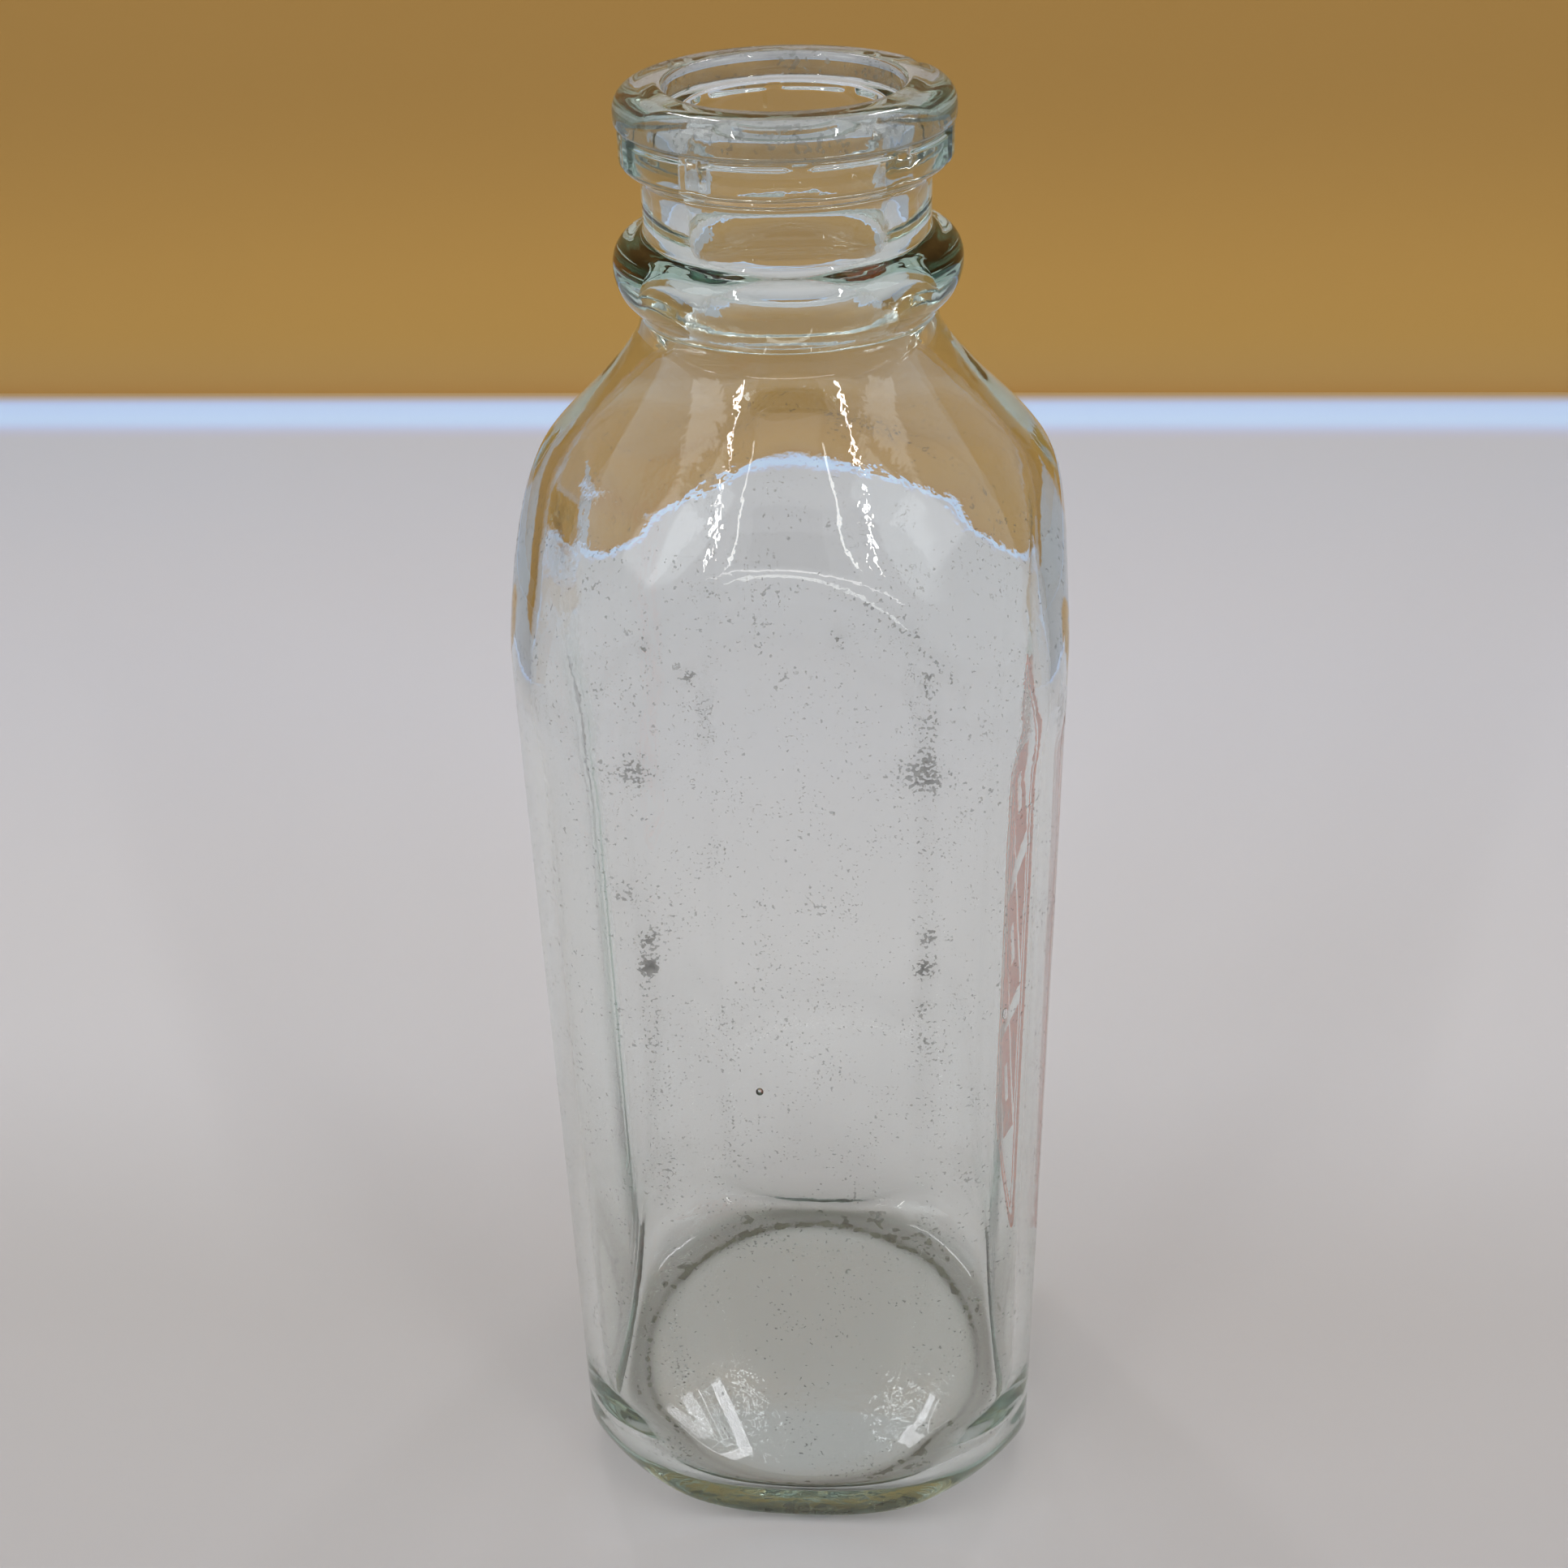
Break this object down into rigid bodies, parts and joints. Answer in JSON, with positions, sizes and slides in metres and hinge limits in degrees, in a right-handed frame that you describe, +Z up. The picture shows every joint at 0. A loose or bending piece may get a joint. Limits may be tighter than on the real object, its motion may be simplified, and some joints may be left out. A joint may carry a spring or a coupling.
{
  "type": "square milk bottle",
  "caption": "Square clear glass milk bottle with a round shoulder, beaded cap finish, open cap seat and a worn enamel print on one flat side.",
  "frame": {"origin": "centre of the foot, on the surface that the bottle stands on", "axes": "+Z up the bottle's axis to the mouth; +X through the flat panel that carries the enamel print; -Y through the flat panel at the front"},
  "size_m": [0.0803, 0.0802, 0.241],
  "materials": {
    "clear_glass": "clear blown soda glass, faintly grey-green where it is thick, with case wear on its high places",
    "red_enamel": "fired-on orange-red enamel, matt, worn and flaked (painted_metal stands in for fired enamel on glass)"
  },
  "bodies": {
    "root": {"bottle": "clear_glass", "panel_print": "red_enamel"}
  },
  "joints": []
}
